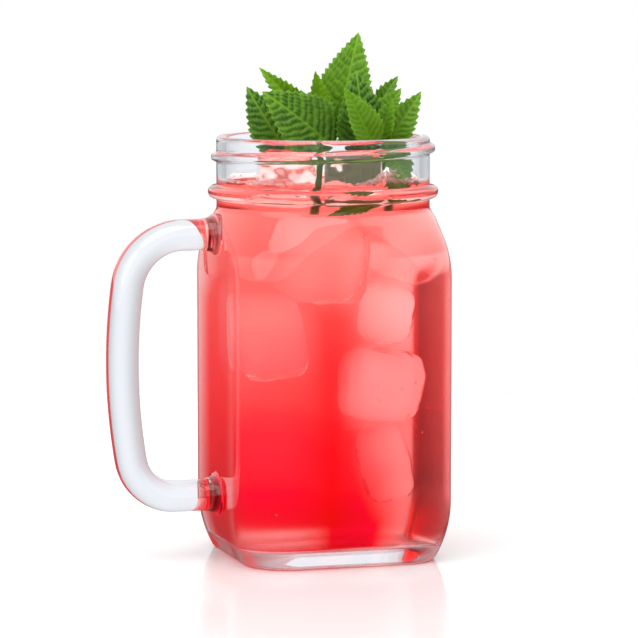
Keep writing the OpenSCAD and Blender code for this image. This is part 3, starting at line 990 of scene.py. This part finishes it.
def mint_material(look):
    """Green leaf, lighter along its veins and in young leaves, with a fine grain."""
    material, tree, shader = new_material("mint_leaf")
    place = add_node(tree, "ShaderNodeTexCoord")
    patches = object_noise(tree, place, 190, detail=4)
    uneven = maths(tree, "MULTIPLY", maths(tree, "SUBTRACT", patches, 0.5), 0.9)
    tone = maths(tree, "ADD", point_value(tree, "youth"), uneven)
    body = blend(tree, tone, look.leaf_green, look.young_green)
    vein = maths(tree, "MULTIPLY", maths(tree, "POWER", point_value(tree, "vein"), 1.6), 0.5)
    veined = blend(tree, vein, body, look.vein_green)
    rim = maths(tree, "MULTIPLY", point_value(tree, "rim"), 0.3)
    dullness = maths(tree, "ADD", maths(tree, "MULTIPLY", patches, 0.3), 0.38)
    fill_inputs(tree, shader, {"Base Color": blend(tree, rim, veined, look.vein_green), "Roughness": dullness,
                               "Specular IOR Level": 0.3, "Subsurface Weight": 0.12,
                               "Subsurface Radius": (0.4, 1.0, 0.15), "Subsurface Scale": 0.0012})
    roughen(tree, shader, object_noise(tree, place, 1500), 0.35, 0.0003)
    return material


class LEMONADE_OT_mint(bpy.types.Operator):
    """Make the two sprigs of mint"""

    bl_idname = "lemonade.mint"
    bl_label = "Mint"

    def execute(self, context):
        look = context.scene.mint_look
        material = mint_material(look)
        left = sprig("left", LEFT_LEAVES, LEFT_STEM, LEFT_JOINTS, look, material)
        dress(left, "mint_left", "mint", "mint_sprig_left")
        right = sprig("right", RIGHT_LEAVES, RIGHT_STEM, RIGHT_JOINTS, look, material, LOOSE_LEAVES)
        dress(right, "mint_right", "mint", "mint_sprig_right")
        return {"FINISHED"}


# ---------- stage ----------

FLOOR_SIDES = 72
THROUGH_DRINK = 4.5      # a ray let through more often than this has crossed the drink
MIRRORED_DARK = 0.12     # what a mirrored ray sees below the horizon
LAMPS = (("overhead", (-0.35, -0.5, 1.6), 1.6, 15), ("left", (-1.5, -0.7, 0.9), 1.5, 9))
LENS = 201.07
LENS_SHIFT = (-0.0063, 0.0406)
CAMERA_TURN = math.radians(-16.91)
AIM_HEIGHT = 0.0663


class LEMONADE_OT_stage(bpy.types.Operator):
    """Set the floor, the light and the camera"""

    bl_idname = "lemonade.stage"
    bl_label = "Stage"

    def execute(self, context):
        scene, look = context.scene, context.scene.stage_look
        floor_material, tree, shader = new_material("pale_floor")
        fill_inputs(tree, shader, {"Base Color": (*look.floor_colour, 1), "Roughness": 0.11, "IOR": 1.5})
        path = add_node(tree, "ShaderNodeLightPath")
        clear = add_node(tree, "ShaderNodeBsdfTransparent")
        mix = add_node(tree, "ShaderNodeMixShader", {"Fac": path.outputs["Is Glossy Ray"],
                                                     1: shader.outputs["BSDF"], 2: clear.outputs["BSDF"]})
        tree.links.new(mix.outputs["Shader"], tree.nodes["Material Output"].inputs["Surface"])
        mesh = bpy.data.meshes.new("floor")
        turns = [2 * math.pi * i / FLOOR_SIDES for i in range(FLOOR_SIDES)]
        rim = [(look.floor_reach * math.cos(a), look.floor_reach * math.sin(a), 0) for a in turns]
        mesh.from_pydata(rim, [], [tuple(range(FLOOR_SIDES))])
        mesh.materials.append(floor_material)
        floor = bpy.data.objects.new("floor", mesh)
        scene.collection.objects.link(floor)
        room(scene, look)
        camera_on(scene, look)
        scene.view_settings.view_transform = "Standard"
        scene.cycles.use_denoising = True
        scene.cycles.max_bounces = 40
        scene.cycles.transmission_bounces = 36
        scene.cycles.glossy_bounces = 8
        scene.cycles.diffuse_bounces = 4
        scene.cycles.transparent_max_bounces = 16
        return {"FINISHED"}


def room(scene, look):
    """A white surround, greyer between its four bright sides where it shows through clear glass alone."""
    world = bpy.data.worlds.new("room")
    scene.world = world
    world.use_nodes = True
    tree = world.node_tree
    tree.nodes.clear()
    place = add_node(tree, "ShaderNodeTexCoord")
    split = add_node(tree, "ShaderNodeSeparateXYZ", {"Vector": place.outputs["Generated"]})
    path = add_node(tree, "ShaderNodeLightPath").outputs

    def light(colour, strength):
        node = add_node(tree, "ShaderNodeBackground", {"Color": (*colour, 1), "Strength": strength})
        return node.outputs["Background"]

    def choose(factor, low, high):
        return add_node(tree, "ShaderNodeMixShader", {"Fac": factor, 1: low, 2: high}).outputs["Shader"]

    def waved(wave, size, strength):
        return maths(tree, "ADD", maths(tree, "MULTIPLY", wave, size), strength)

    x, y, z = [split.outputs[i] for i in range(3)]
    around = maths(tree, "SUBTRACT", maths(tree, "ARCTAN2", y, x), math.radians(73))
    sides = maths(tree, "COSINE", maths(tree, "MULTIPLY", around, 4))
    wave = maths(tree, "MULTIPLY", sides, maths(tree, "SUBTRACT", 1, maths(tree, "MULTIPLY", z, z)))
    through_glass = light((0.92, 0.95, 1.0), waved(wave, 0.2, look.glass_light))
    through_drink = light((1, 0.99, 0.98), waved(wave, 0.08, look.drink_light))
    deep = maths(tree, "GREATER_THAN", path["Transmission Depth"], THROUGH_DRINK)
    below = maths(tree, "LESS_THAN", z, 0.02)
    mirrored = maths(tree, "MULTIPLY", below, path["Is Glossy Ray"])
    outside = choose(mirrored, light((1, 1, 1), look.room_light), light((0.9, 0.95, 1.0), MIRRORED_DARK))
    seen = choose(path["Is Transmission Ray"], outside, choose(deep, through_glass, through_drink))
    add_node(tree, "ShaderNodeOutputWorld", {"Surface": seen})
    for name, where, size, power in LAMPS:
        lamp = bpy.data.lights.new(name, "AREA")
        lamp.shape, lamp.size, lamp.energy = "DISK", size, power
        stand(scene, name, lamp, where, Vector((0, 0, 0.07)))


def stand(scene, name, data, where, aim):
    """Puts a lamp or camera in the scene, facing aim."""
    holder = bpy.data.objects.new(name, data)
    holder.location = where
    holder.rotation_euler = (aim - holder.location).to_track_quat("-Z", "Y").to_euler()
    scene.collection.objects.link(holder)
    return holder


def camera_on(scene, look):
    camera = bpy.data.cameras.new("camera")
    camera.sensor_width, camera.lens = 36, LENS
    camera.shift_x, camera.shift_y = LENS_SHIFT
    camera.clip_start, camera.clip_end = 0.1, 80
    axis = AXIS * MM
    away = Vector((math.sin(CAMERA_TURN) * look.camera_distance,
                   -math.cos(CAMERA_TURN) * look.camera_distance, look.camera_height))
    scene.camera = stand(scene, "camera", camera, axis + away, axis + Vector((0, 0, AIM_HEIGHT)))


class LEMONADE_PT_panel(bpy.types.Panel):
    bl_idname = "LEMONADE_PT_panel"
    bl_label = "Iced Lemonade Jar"
    bl_space_type = "VIEW_3D"
    bl_region_type = "UI"
    bl_category = "Lemonade"

    def draw(self, context):
        for operator in MAKERS:
            self.layout.operator(operator.bl_idname)


MAKERS = (LEMONADE_OT_glass, LEMONADE_OT_drink, LEMONADE_OT_ice, LEMONADE_OT_foam,
          LEMONADE_OT_mint, LEMONADE_OT_stage)
SETTINGS = {"jar_sizes": JarSizes, "drink_look": DrinkLook, "ice_look": IceLook,
            "mint_look": MintLook, "stage_look": StageLook}


def register():
    for kind in (*SETTINGS.values(), *MAKERS, LEMONADE_PT_panel):
        bpy.utils.register_class(kind)
    for name, kind in SETTINGS.items():
        setattr(bpy.types.Scene, name, PointerProperty(type=kind))


def unregister():
    for name in SETTINGS:
        delattr(bpy.types.Scene, name)
    for kind in (LEMONADE_PT_panel, *reversed(MAKERS), *SETTINGS.values()):
        bpy.utils.unregister_class(kind)


def main():
    register()
    bpy.ops.lemonade.glass()
    bpy.ops.lemonade.drink()
    bpy.ops.lemonade.ice()
    bpy.ops.lemonade.foam()
    bpy.ops.lemonade.mint()
    bpy.ops.lemonade.stage()


if __name__ == "__main__":
    main()
